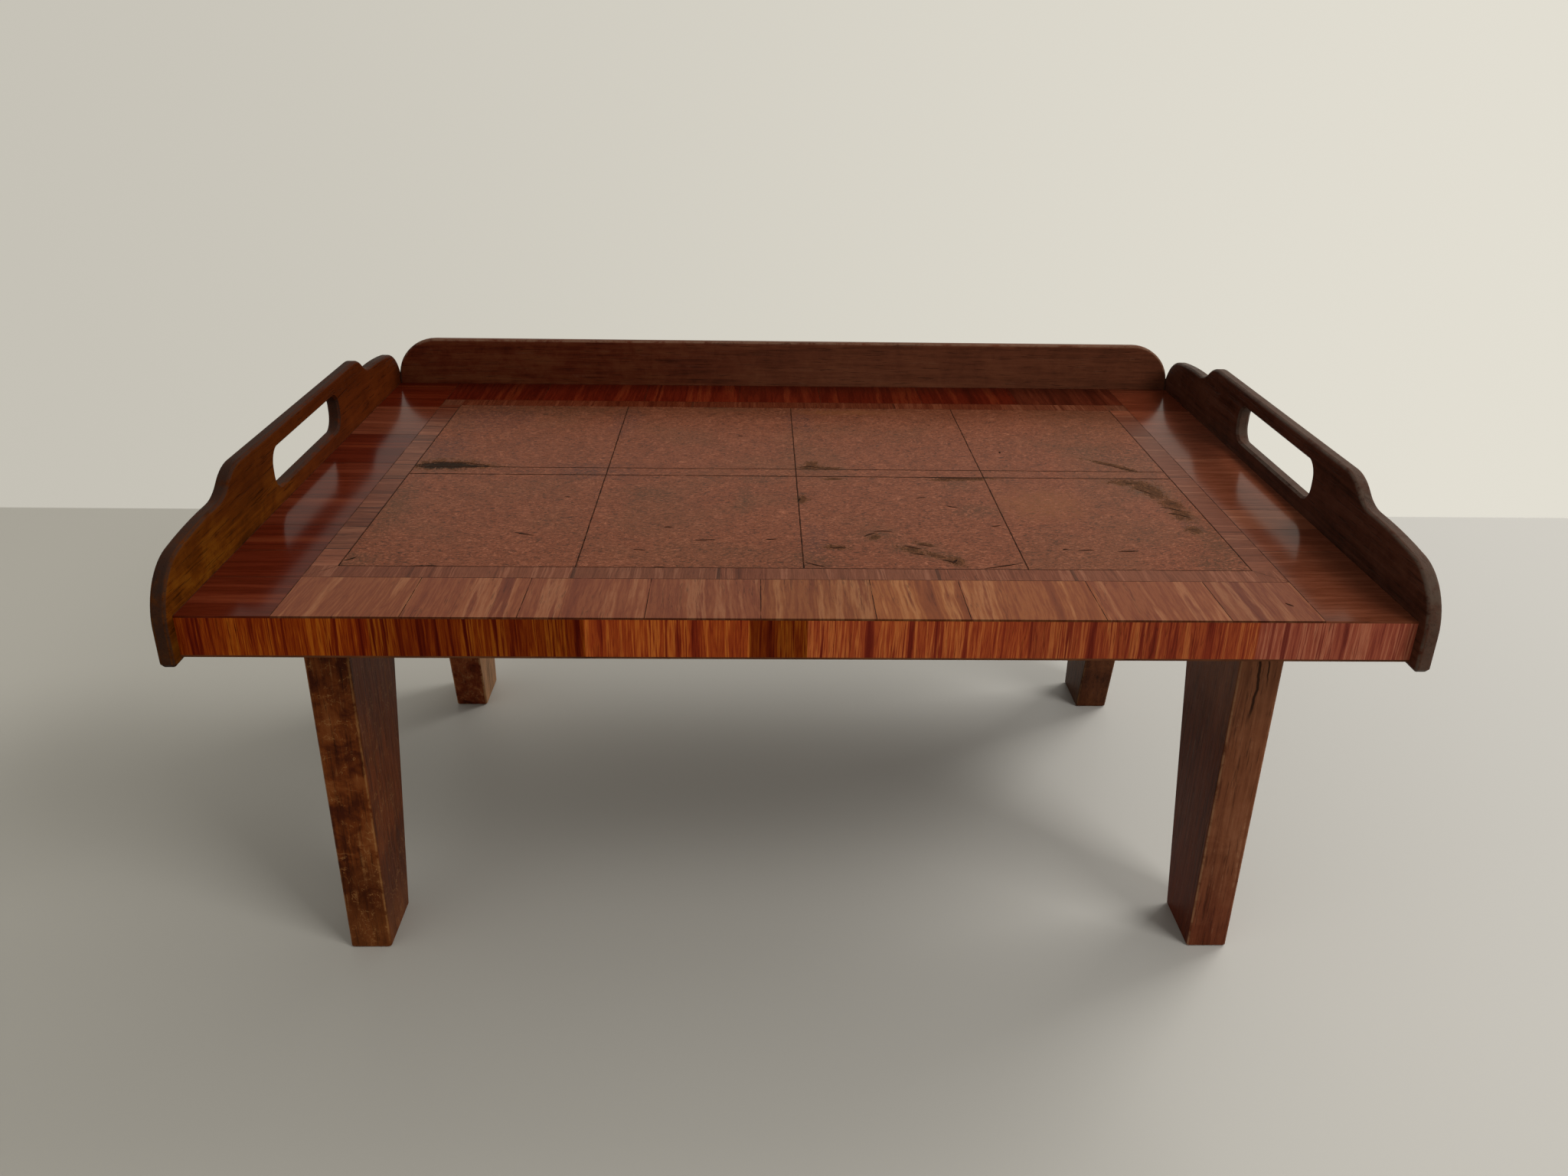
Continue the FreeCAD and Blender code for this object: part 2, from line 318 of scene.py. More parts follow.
def burrFan(paint, across, along, flow, dials):
    # fans of growth lines in the corners of the matched leaves
    corner = fieldHigh[1] - fieldMiddle
    reach = (across * across + (corner - along) * (corner - along)) ** 0.5
    wave = (reach + flow.swing(dials["ringWander"])) * (2 * math.pi / dials["ringWidth"])
    ring = paint.ease(wave.maths("SINE"), *dials["ringRange"])
    return ring * (paint.ease(reach, *dials["fanRange"]) * paint.ease(flow, *dials["fanFlow"]))


def burrFilling(paint, colour, dials):
    # grey filling in the holes of the burr, with a darker core, and empty pits in it
    lengthX, lengthY = dials["lumpLengths"]
    lumps = paint.join(paint.x * lengthX, paint.y * lengthY)
    near = nearestMark(paint, dials["fillings"])
    halo = paint.ease(near, *dials["haloRange"])
    colour = paint.mix(halo * dials["haloShare"], colour, dials["olive"])
    crumbs = paint.noise(lumps, *dials["crumb"])
    tints = [dials["fillingDark"], dials["fillingGrey"], dials["fillingPale"]]
    filling = paint.ramp(crumbs, list(zip(dials["fillingStops"], tints)))
    ragged = paint.noise(lumps, *dials["ragged"]).swing(dials["raggedness"])
    core = paint.ease(near + ragged, *dials["coreRange"])
    filling = paint.mix(core * dials["coreShare"], filling, dials["fillingCore"])
    filled = paint.ease(near + ragged, *dials["filledRange"])
    colour = paint.mix(filled * dials["filledShare"], colour, filling)
    pit = nearestMark(paint, dials["pits"]) + ragged * dials["pitRaggedness"]
    pit = paint.ease(pit, *dials["pitRange"])
    return paint.mix(pit * dials["pitShare"], colour, dials["pitTone"]), filled


def burrLook(name, dials, folded):
    paint = Paint(name).start()
    x, y = paint.x, paint.y
    flat = paint.join(x, y)
    lying = paint.join(x * dials["fleckLength"], y - x * dials["fleckSlant"])
    across = x.maths("PINGPONG", leafWidth) if folded else x
    along = abs(y - fieldMiddle) if folded else y
    leaf = ((x + leafWidth) / leafWidth).maths("FLOOR")
    leaf = leaf + (y > fieldMiddle) * dials["backSeed"]
    flow = paint.noise(paint.join(across, along), *dials["flow"])
    fleck = paint.noise(lying, *dials["fleck"], leaf)
    grit = paint.noise(lying, *dials["grit"])
    figure = layered((flow, dials["flowWeight"]), (fleck, dials["fleckWeight"]),
                     (grit, dials["gritWeight"]))
    tints = [dials["dark"], dials["plain"], dials["light"], dials["pale"]]
    colour = paint.ramp(figure, list(zip(dials["toneStops"], tints)))
    olive = paint.ease(paint.noise(flat, *dials["broad"]), *dials["oliveRange"])
    colour = paint.mix(olive * dials["oliveShare"], colour, dials["olive"])
    if folded:
        fan = burrFan(paint, across, along, flow, dials)
        colour = paint.shade(colour, 1.0 - fan * dials["fanDepth"])
    blur = paint.noise(flat, *dials["blur"]).swing(dials["blurring"])
    broken = paint.ease(fleck, *dials["fleckRange"]) * dials["stainShare"]
    for label, stains in dials["stains"].items():
        stained = paint.ease(nearestMark(paint, stains) + blur, *dials["stainRange"])
        colour = paint.mix(stained * broken, colour, dials["stainTones"][label])
    colour, filled = burrFilling(paint, colour, dials)
    streak = paint.join(x * dials["streakLength"], y - x * dials["streakSlant"])
    streak = paint.noise(streak, *dials["streaky"], leaf + dials["streakSeed"])
    streak = paint.ease(streak, *dials["streakRange"]) * paint.ease(flow, *dials["streakFlow"])
    colour = paint.shade(colour, 1.0 - streak * dials["streak"])
    # curled growth lines: a dark thread, partly figure and partly painted shade, beside a pale
    # painted highlight; together they paint a relief
    curl = paint.join(x * dials["curlLength"], y)
    curl = paint.noise(curl, *dials["curly"], leaf + dials["curlSeed"])
    thread = paint.ease(abs(curl - dials["threadPlace"]), *dials["threadRange"])
    glint = paint.ease(abs(curl - dials["glintPlace"]), *dials["threadRange"])
    curlRelief = thread * dials["thread"] - glint * dials["glint"]
    colour = paint.shade(colour, 1.0 - curlRelief * paint.ease(flow, *dials["curlFlow"]))
    pips = paint.ease(paint.cells(lying, dials["pipScale"]), *dials["pipRange"])
    rare = paint.ease(paint.noise(flat, *dials["rare"]), *dials["rareRange"])
    colour = paint.mix(pips * rare * dials["pipShare"], colour, dials["knotTone"])
    # painted shade and reflection of the rail: the field gets darker towards the rail
    far = paint.ease(y, fieldHigh[1] - dials["backReach"], fieldHigh[1])
    colour = paint.shade(colour, 1.0 - far * dials["backShade"])
    roughness = dials["roughness"] + flow.swing(dials["roughSwing"])
    roughness = roughness + filled * dials["fillingRough"]
    return paint.finish(colour, roughness, dials["gloss"], fleck, dials["bump"], amberLacquer)


dress(burrLook("burrLeaves", burrDials, True),
      *["burr_panel_%s_%d" % (row, i) for row in ("front", "back")
        for i in range(1, leafColumns + 1)])
dress(burrLook("burrStrip", burrDials, False), "middle_strip")
print("burr leaves finished")


# crossbands: stripes run across the band, and each length has its own figure
bandDials = {
    # two sets of tones for each kind of band; every length lies between them.
    #     # The back set is darker: painted shade and reflection of the rail
    "front": ([tone(86, 37, 24), tone(103, 49, 30), tone(117, 62, 38), tone(133, 81, 54)],
              [tone(90, 40, 16), tone(114, 58, 26), tone(130, 75, 36), tone(146, 93, 52)]),
    "side": ([tone(50, 8, 1), tone(68, 15, 3), tone(84, 24, 8), tone(100, 38, 16)],
             [tone(76, 36, 20), tone(98, 52, 32), tone(116, 66, 44), tone(132, 82, 58)]),
    "back": ([tone(44, 7, 2), tone(64, 12, 4), tone(80, 20, 7), tone(96, 34, 14)],
             [tone(56, 22, 12), tone(74, 34, 20), tone(90, 46, 28), tone(104, 58, 38)]),
    "narrow": ([tone(64, 18, 6), tone(80, 28, 12), tone(92, 38, 18), tone(106, 50, 28)],
               [tone(82, 42, 26), tone(98, 53, 34), tone(110, 62, 42), tone(126, 78, 56)]),
    "edge": ([tone(76, 12, 3), tone(106, 31, 4), tone(133, 55, 7), tone(155, 80, 16)],
             [tone(92, 36, 28), tone(118, 54, 40), tone(136, 70, 50), tone(152, 90, 66)]),
    # each length, from the left or the front: how light, how far to the second
    #     # set, and the slant of its stripes, where 0.5 is upright. Levels and shares are partly
    #     # each length's own colour and partly painted light: a painted haze that grows to the
    #     # right of the edge veneer, painted light that lifts the right wide band out of the
    #     # board's shade, and painted shade of the rail on the back bands
    "lengths": {
        "wide_band_front": [
            (0.98, 0.25, 0.3), (1.02, 0.15, 0.6), (1.00, 0.1, 0.5), (0.95, 0.1, 0.7),
            (0.92, 0.55, 0.4), (1.08, 0.80, 0.6), (1.07, 0.55, 0.3), (1.03, 0.2, 0.4),
            (0.90, 0.1, 0.5)],
        "wide_band_back": [
            (0.78, 0.0, 0.5), (0.94, 0.0, 0.4), (1.00, 0.0, 0.6), (0.92, 0.05, 0.5),
            (0.82, 0.0, 0.4), (0.85, 0.0, 0.6), (0.72, 0.4, 0.5)],
        "wide_band_left": [
            (0.92, 0.10, 0.6), (0.87, 0.06, 0.4), (0.82, 0.04, 0.5), (0.92, 0.15, 0.5),
            (0.82, 0.02, 0.4), (0.98, 0.42, 0.6), (0.80, 0.0, 0.5)],
        "wide_band_right": [
            (0.90, 0.75, 0.4), (1.00, 0.6, 0.6), (1.14, 1.0, 0.5), (1.06, 0.7, 0.4),
            (1.06, 0.6, 0.5), (1.12, 0.5, 0.6), (0.95, 0.35, 0.5)],
        "narrow_band_front": [
            (0.96, 0.7, 0.5), (1.04, 0.9, 0.6), (0.90, 0.9, 0.4), (0.96, 0.7, 0.5),
            (1.00, 1.0, 0.5), (1.06, 0.8, 0.7), (1.06, 1.0, 0.4)],
        "narrow_band_back": [
            (0.70, 0.1, 0.5), (0.78, 0.1, 0.4), (0.72, 0.0, 0.6), (0.74, 0.1, 0.5),
            (0.72, 0.2, 0.5), (0.78, 0.2, 0.3), (0.76, 0.5, 0.6)],
        "narrow_band_left": [
            (1.16, 0.8, 0.5), (0.90, 0.9, 0.3), (0.86, 0.6, 0.6), (0.90, 0.6, 0.4),
            (0.90, 1.0, 0.5), (0.98, 0.9, 0.7), (0.74, 0.8, 0.5), (1.16, 1.0, 0.6),
            (0.92, 0.8, 0.4), (0.74, 0.3, 0.5)],
        "narrow_band_right": [
            (1.08, 1.0, 0.5), (0.94, 0.9, 0.3), (0.98, 0.8, 0.6), (1.00, 0.9, 0.4),
            (0.94, 0.8, 0.5), (0.90, 0.9, 0.7), (0.80, 0.7, 0.5), (1.10, 0.8, 0.5)],
        "band_corner_squares": [(0.96, 0.8, 0.6), (0.98, 0.9, 0.4)],
        "front_edge_veneer": [
            (1.02, 0.0, 0.5), (0.78, 0.0, 0.6), (1.36, 0.16, 0.5), (0.69, 0.02, 0.5),
            (1.40, 0.33, 0.4), (1.20, 0.4, 0.5), (1.14, 1.0, 0.5)],
    },
    # where short lengths start and end, in millimetres; the corner squares are two pairs
    "cuts": {
        "narrow_band_front": (-336, -250, -165, -60, -25, 100, 200, 336),
        "narrow_band_back": (-336, -280, -190, -100, 10, 110, 230, 336),
        "narrow_band_left": (-205, -175, -130, -88, -17, 20, 88, 102, 126, 158, 205),
        "narrow_band_right": (-205, -188, -130, -60, 0, 60, 120, 188, 205),
        "band_corner_squares": (-420, 0, 420),
    },
    # layers of stripes: scale, weight, and how much a layer changes across the band
    "stripeScales": (52.0, 150.0, 520.0), "stripeWeights": (1.05, 0.52, 0.24),
    "stripeRuns": (0.03, 0.04, 0.08), "stripeKind": (2.0, 0.55, 0.0), "contrast": 0.9,
    # the tones come back along the figure, so that stripes get sharp sides
    "toneStops": (0.20, 0.36, 0.44, 0.50, 0.56, 0.64, 0.72, 0.86),
    "toneOrder": (0, 1, 2, 1, 2, 3, 1, 0),
    # noises: scale, detail, roughness and twist
    "drift": (15.0, 3.0, 0.55, 0.0), "veins": (240.0, 2.0, 0.7, 0.0),
    "pores": (2600.0, 1.0, 0.5, 0.0), "grainRun": 0.05,
    # masks: each goes from 0 at the first value to 1 at the second
    "veinRange": (0.018, 0.004), "veinDrift": (-0.04, 0.06), "poreRange": (0.56, 0.70),
    # what makes the figure of every length differ
    "lotWeights": (6.0, 5.0, 11.0), "lotSpread": 7.0, "stripeLots": 3.0, "veinSeed": 2.0,
    "wobble": 0.005, "slant": 0.18, "vein": 0.35, "veinPlace": 0.56, "pore": 0.2,
    # backShade: painted shade and reflection of the rail on the back half of a band
    "backShade": 0.0,
    # half width of a joint line, and where the dark rim begins and is complete, in millimetres
    "joints": 0.0, "jointShade": 0.5, "rimReach": (0.4, 0.1), "rimShade": 0.55,
    "roughness": 0.14, "roughSwing": 0.05, "gloss": 0.065, "bump": 0.00004,
    "amber": amberLacquer,
}
levelLimit = 2.0    # a ramp's values end at 1, so levels pass through it as shares of this


def bandFigure(paint, line, over, lot, dials):
    layers = []
    for scale, weight, run in zip(dials["stripeScales"], dials["stripeWeights"],
                                  dials["stripeRuns"]):
        stripe = paint.noise(paint.join(line, over * run), scale, *dials["stripeKind"],
                             lot * dials["stripeLots"] + scale)
        layers.append((stripe, weight * dials["contrast"]))
    return layered(*layers)


def jointMask(paint, share, places, half):
    # thin lines where short lengths meet
    stops = [(0.0, (0.0, 0.0, 0.0))]
    for place in places[1:]:
        stops += [(place - half, (1.0, 1.0, 1.0)), (place + half, (0.0, 0.0, 0.0))]
    return paint.split(paint.ramp(share, stops, "CONSTANT"))[0]


def crossbandLook(name, node, along, tones, **changes):
    dials = {**bandDials, **changes}
    paint = Paint(name).start()
    if along == "x":
        run, over = paint.x, paint.z if tones == "edge" else paint.y
    else:
        run, over = paint.y, paint.x
    if node in dials["cuts"]:
        cuts = mm(*dials["cuts"][node])
    else:
        cuts = jointsOf(node, "xyz".index(along))
    reach = cuts[-1] - cuts[0]
    share = (run - cuts[0]) / reach
    places = [(cut - cuts[0]) / reach for cut in cuts[:-1]]
    lengths = [(place, (level / levelLimit, kind, slant))
               for place, (level, kind, slant) in zip(places, dials["lengths"][node])]
    level, kind, slant = paint.split(paint.ramp(share, lengths, "CONSTANT"))
    forLevel, forKind, forSlant = dials["lotWeights"]
    lot = (level * forLevel + kind * forKind + slant * forSlant) * dials["lotSpread"]
    drift = paint.noise(paint.place, *dials["drift"], lot) - noiseMiddle
    line = run + over * slant.swing(dials["slant"]) + drift * dials["wobble"]
    figure = bandFigure(paint, line, over, lot, dials)
    first, second = [paint.ramp(figure, [(stop, palette[i]) for stop, i in zip(
        dials["toneStops"], dials["toneOrder"])]) for palette in dials[tones]]
    colour = paint.mix(kind, first, second)
    vein = paint.noise(paint.join(line, over * dials["grainRun"]), *dials["veins"],
                       lot + dials["veinSeed"])
    vein = paint.ease(abs(vein - dials["veinPlace"]), *dials["veinRange"])
    vein = vein * paint.ease(drift, *dials["veinDrift"])
    colour = paint.shade(colour, 1.0 - vein * dials["vein"])
    pores = paint.noise(paint.join(line, over * dials["grainRun"]), *dials["pores"], lot)
    colour = paint.shade(colour, 1.0 - paint.ease(pores, *dials["poreRange"]) * dials["pore"])
    # a length's level: partly its own colour and partly painted light
    colour = paint.shade(colour, level * levelLimit)
    if dials["joints"]:
        joints = jointMask(paint, share, places, mm(dials["joints"])[0] / reach)
        colour = paint.shade(colour, 1.0 - joints * dials["jointShade"])
    # painted shade and reflection of the rail: the back half is darker
    if dials["backShade"]:
        colour = paint.shade(colour, 1.0 - (paint.y > 0.0) * dials["backShade"])
    if tones == "front":
        # the cut edge of the leaves, seen from the front, is darker
        inner, outer = [slabLow[1] + depth for depth in mm(*dials["rimReach"])]
        rim = paint.ease(paint.y, inner, outer)
        colour = paint.shade(colour, 1.0 - rim * dials["rimShade"])
    roughness = dials["roughness"] + figure.swing(dials["roughSwing"])
    dress(paint.finish(colour, roughness, dials["gloss"], figure, dials["bump"],
                       dials["amber"]), node)


sideChanges = {"contrast": 0.55, "vein": 0.2}
crossbandLook("bandFront", "wide_band_front", "x", "front", contrast=1.15)
crossbandLook("bandBack", "wide_band_back", "x", "back", contrast=0.8)
crossbandLook("bandLeft", "wide_band_left", "y", "side", **sideChanges, gloss=0.072,
              amber=(1.0, 0.58, 0.32))
crossbandLook("bandRight", "wide_band_right", "y", "side", **sideChanges, gloss=0.085,
              stripeScales=(70.0, 240.0, 640.0), stripeWeights=(0.8, 0.55, 0.3))
narrowChanges = {"roughness": 0.24, "stripeScales": (120.0, 340.0, 900.0), "contrast": 1.0,
                 "vein": 0.3, "gloss": 0.05, "joints": 0.5}
narrowSides = {
    "front": ("x", {}), "back": ("x", {}),
    "left": ("y", {"contrast": 1.6, "joints": 0.8}), "right": ("y", {"contrast": 0.9}),
}
for side, (along, changes) in narrowSides.items():
    crossbandLook("narrowBand_" + side, "narrow_band_" + side, along, "narrow",
                  **{**narrowChanges, **changes})
# the back pair of corner squares gets painted shade of the rail
crossbandLook("cornerSquares", "band_corner_squares", "x", "narrow",
              **{**narrowChanges, "joints": 0.0, "backShade": 0.35})
crossbandLook("edgeStripes", "front_edge_veneer", "x", "edge", roughness=0.30,
              stripeScales=(70.0, 250.0, 760.0), stripeWeights=(1.1, 0.95, 0.5),
              stripeRuns=(0.02, 0.02, 0.04), contrast=1.15, vein=0.3, wobble=0.002, gloss=0.05)
print("crossbands finished")


# glue lines between the leaves, splits, and a painted shade line along the foot of the boards and
# rail
seamDials = {
    # kinds of line: width and wander in millimetres, and where a line gets thin
    "glue": {"Width": 1.1, "Wander": 1.0, "Gaps": 0.34},
    "strong": {"Width": 1.9, "Wander": 1.0, "Gaps": 0.34},
    "middling": {"Width": 1.6, "Wander": 0.8, "Gaps": 0.32},
    "fine": {"Width": 0.65, "Wander": 0.5, "Gaps": 0.40},
    "faint": {"Width": 0.5, "Wander": 0.4, "Gaps": 0.44},
    "split": {"Width": 2.2, "Wander": 4.0, "Gaps": 0.36, "Taper": 1.0},
    # foot: painted shade in the crease where the boards and rail meet the tray
    "foot": {"Width": 1.1, "Wander": 0.2, "Gaps": 0.20},
    "stepLength": 2.0, "thinnest": 0.3, "flatness": 0.1, "corners": 6,
    # noises: scale, detail, roughness and twist
    "drift": (45.0, 3.0, 0.6, 0.0), "body": (60.0, 3.0, 0.7, 0.0), "blot": (120.0, 3.0, 0.6),
    "driftSeed": 5.0, "bodySeed": 9.0, "gapFade": (0.05, 0.10), "spindlePower": 0.6,
    "dark": tone(24, 13, 7), "brown": tone(64, 34, 19), "blotStops": (0.35, 0.65),
    "roughness": 0.5, "gloss": 0.02, "bump": 0.0001, "knotBow": 0.5,
    # splits in the veneer, as runs of points in millimetres
    "splits": [
        [(136, -204), (148, -200), (158, -197), (168, -193)], [(4, -194), (12, -199), (20, -203)],
        [(114, -5), (142, -6), (167, -5)], [(-286, -205), (-270, -204), (-262, -205)],
        [(-110, -205), (-98, -204)], [(-336, 17), (-318, 26), (-290, 25), (-268, 16)],
        [(306, -74), (314, -78), (322, -84)], [(308, -88), (316, -91), (324, -98)],
        [(278, 38), (290, 32), (300, 24), (312, 14)], [(-334, -196), (-327, -188)],
        [(4, 18), (14, 22), (26, 19)], [(300, -5), (316, -4), (328, -5)],
        [(104, -186), (112, -189), (120, -196)], [(60, -134), (68, -131), (76, -133)],
        [(52, -143), (58, -138), (63, -136)], [(214, -168), (228, -167)],
        [(244, -170), (262, -169)], [(296, -30), (304, -36), (308, -44)],
    ],
    # knots: x, y and half length in millimetres, and turn
    "knots": [
        (107, -57, 5, 20), (131, -77, 6, -25), (-72, -152, 9, 5), (-101, -126, 4, 0),
        (-212, -142, 9, -20), (-47, 109, 3, 0), (200, 93, 2, 0), (196, 66, 3, 80),
        (206, -166, 3, 25), (30, -166, 7, 0), (92, -178, 6, -20), (5, -62, 4, 80),
        (88, -164, 8, -25), (-20, -150, 5, 10), (160, -120, 5, 20), (-120, -172, 5, -10),
        (117, -191, 5, 60), (98, -160, 6, -20), (-190, -60, 3, -10), (140, 150, 2, 0),
        (341, -263, 4, -60),
    ],
}


def seamTree(dials):
    tree = bpy.data.node_groups.new("seamLine", "GeometryNodeTree")
    kinds = {"Edges": "Geometry", "Material": "Material"}
    ids = {}
    for label in ("Edges", "Width", "Wander", "Gaps", "Taper", "Proud", "Seed", "Material"):
        kind = "NodeSocket" + kinds.get(label, "Float")
        ids[label] = tree.interface.new_socket(label, in_out="INPUT",
                                               socket_type=kind).identifier
    tree.interface.new_socket("Seam", in_out="OUTPUT", socket_type="NodeSocketGeometry")
    graph = Graph(tree)
    given = graph.outlets(graph.node("NodeGroupInput"))
    line = graph.node("GeometryNodeMeshToCurve", {}, {"Mesh": given["Edges"]})
    line = graph.node("GeometryNodeResampleCurve", {"mode": "LENGTH"},
                      {"Curve": line, "Length": mm(dials["stepLength"])[0]})
    place = graph.node("GeometryNodeInputPosition")
    drifts = [graph.noise(place, *dials["drift"], seed).swing(given["Wander"])
              for seed in (given["Seed"], given["Seed"] + dials["driftSeed"])]
    line = graph.node("GeometryNodeSetPosition", {},
                      {"Geometry": line, "Offset": graph.join(*drifts)})
    body = graph.noise(place, *dials["body"], given["Seed"] + dials["bodySeed"])
    before, after = dials["gapFade"]
    full = graph.ease(body, given["Gaps"] - before, given["Gaps"] + after)
    thin = dials["thinnest"]
    radius = given["Width"] * 0.5 * (full * (1.0 - thin) + thin)
    # a spindle is 1 thick in the middle of a line and 0 at its ends
    passed = graph.node("GeometryNodeSplineParameter")
    spindle = (passed * (1.0 - passed) * 4.0) ** dials["spindlePower"]
    radius = radius * (1.0 - given["Taper"] + given["Taper"] * spindle)
    line = graph.node("GeometryNodeSetCurveNormal", {"mode": "Z_UP"}, {"Curve": line})
    ring = graph.node("GeometryNodeCurvePrimitiveCircle", {},
                      {"Resolution": dials["corners"], "Radius": 1.0})
    ring = graph.node("GeometryNodeTransform", {}, {
        "Geometry": ring, "Scale": graph.join(1.0, given["Proud"], 1.0)})
    strip = graph.node("GeometryNodeCurveToMesh", {},
                       {"Curve": line, "Profile Curve": ring, "Scale": radius,
                        "Fill Caps": True})
    strip = graph.node("GeometryNodeRealizeInstances", {}, {"Geometry": strip})
    strip = graph.node("GeometryNodeSetMaterial", {},
                       {"Geometry": strip, "Material": given["Material"]})
    graph.node("NodeGroupOutput", {}, {"Seam": strip})
    return tree, ids


def glueAndShadeLook(dials):
    paint = Paint("darkGlueAndShade").start()
    blot = paint.noise(paint.place, *dials["blot"])
    colour = paint.ramp(blot, list(zip(dials["blotStops"], [dials["dark"], dials["brown"]])))
    return paint.finish(colour, dials["roughness"], dials["gloss"], blot, dials["bump"])


def seamPiece(name, runs, kind, seed, tree, ids, material):
    # each run is a row of points on the tray, joined one to the next
    points, edges = [], []
    for run in runs:
        edges += [(len(points) + i, len(points) + i + 1) for i in range(len(run) - 1)]
        points += [(*point, trayTop) for point in run]
    mesh = bpy.data.meshes.new(name + "Path")
    mesh.from_pydata(points, edges, [])
    path = bpy.data.objects.new(name + "Path", mesh)
    bpy.context.scene.collection.objects.link(path)
    grower = path.modifiers.new("seam", "NODES")
    grower.node_group = tree
    for label, value in seamDials[kind].items():
        grower[ids[label]] = value if label in ("Gaps", "Taper") else mm(value)[0]
    grower[ids["Proud"]] = seamDials["flatness"]
    grower[ids["Seed"]] = float(seed)
    grower[ids["Material"]] = material
    baked = bpy.data.meshes.new_from_object(path.evaluated_get(
        bpy.context.evaluated_depsgraph_get()))
    bpy.data.objects.remove(path)
    piece = bpy.data.objects.new(name, baked)
    bpy.context.scene.collection.objects.link(piece)
    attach(piece, "root")
    print("  ", name, len(baked.polygons), "faces")


def makeSeams():
    tree, ids = seamTree(seamDials)
    material = glueAndShadeLook(seamDials)
    x0, x1 = fieldLow[0], fieldHigh[0]
    y0, y1 = fieldLow[1], fieldHigh[1]
    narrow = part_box("narrow_band_right")[1][0] - x1
    n0, n1, m0, m1 = x0 - narrow, x1 + narrow, y0 - narrow, y1 + narrow
    columns = [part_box("burr_panel_front_%d" % i)[0][0] for i in range(2, leafColumns + 1)]
    glue = [((x, y0), (x, y1)) for x in columns]
    glue += [((x0, y0), (x1, y0)), ((x0, y0), (x0, y1)), ((x1, y0), (x1, y1))]
    seamPiece("leafSeams", glue, "glue", 1, tree, ids, material)
    for name, y, kind, seed in (("stripSeam", stripLow[1], "strong", 2),
                                ("stripBackSeam", stripHigh[1], "middling", 8)):
        seamPiece(name, [((x0, y), (x1, y))], kind, seed, tree, ids, material)
    fine = [((n0, m0), (n1, m0)), ((n0, m0), (n0, m1)), ((n1, m0), (n1, m1)),
            ((x0, y1), (x1, y1))]
    fine += [((x, slabLow[1]), (x, m0)) for x in jointsOf("wide_band_front", 0)]
    fine += [((slabLow[0], y), (n0, y)) for y in jointsOf("wide_band_left", 1)[1:-1]]
    fine += [((n1, y), (slabHigh[0], y)) for y in jointsOf("wide_band_right", 1)[1:-1]]
    seamPiece("bandSeams", fine, "fine", 3, tree, ids, material)
    faint = [((x, m1), (x, slabHigh[1])) for x in jointsOf("wide_band_back", 0)]
    faint.append(((n0, m1), (n1, m1)))
    # the narrow band is mitred where it turns
    faint += [((n0, m0), (x0, y0)), ((n1, m0), (x1, y0)), ((n0, m1), (x0, y1)),
              ((n1, m1), (x1, y1))]
    seamPiece("backSeams", faint, "faint", 5, tree, ids, material)
    splits = [[mm(*point) for point in run] for run in seamDials["splits"]]
    seamPiece("leafSplits", splits, "split", 6, tree, ids, material)
    knots = []
    for x, y, half, turn in seamDials["knots"]:
        dx, dy = half * math.cos(math.radians(turn)), half * math.sin(math.radians(turn))
        knots.append([mm(x - dx, y - dy), mm(x, y + seamDials["knotBow"]),
                      mm(x + dx, y + dy)])
    seamPiece("leafKnots", knots, "split", 7, tree, ids, material)
    # painted shade: dark lines in the crease at the foot of the boards and rail
    foot = [((x, slabLow[1]), (x, slabHigh[1])) for x in (slabLow[0], slabHigh[0])]
    foot.append(((slabLow[0], slabHigh[1]), (slabHigh[0], slabHigh[1])))
    seamPiece("footLines", foot, "foot", 4, tree, ids, material)


makeSeams()
print("glue lines laid")


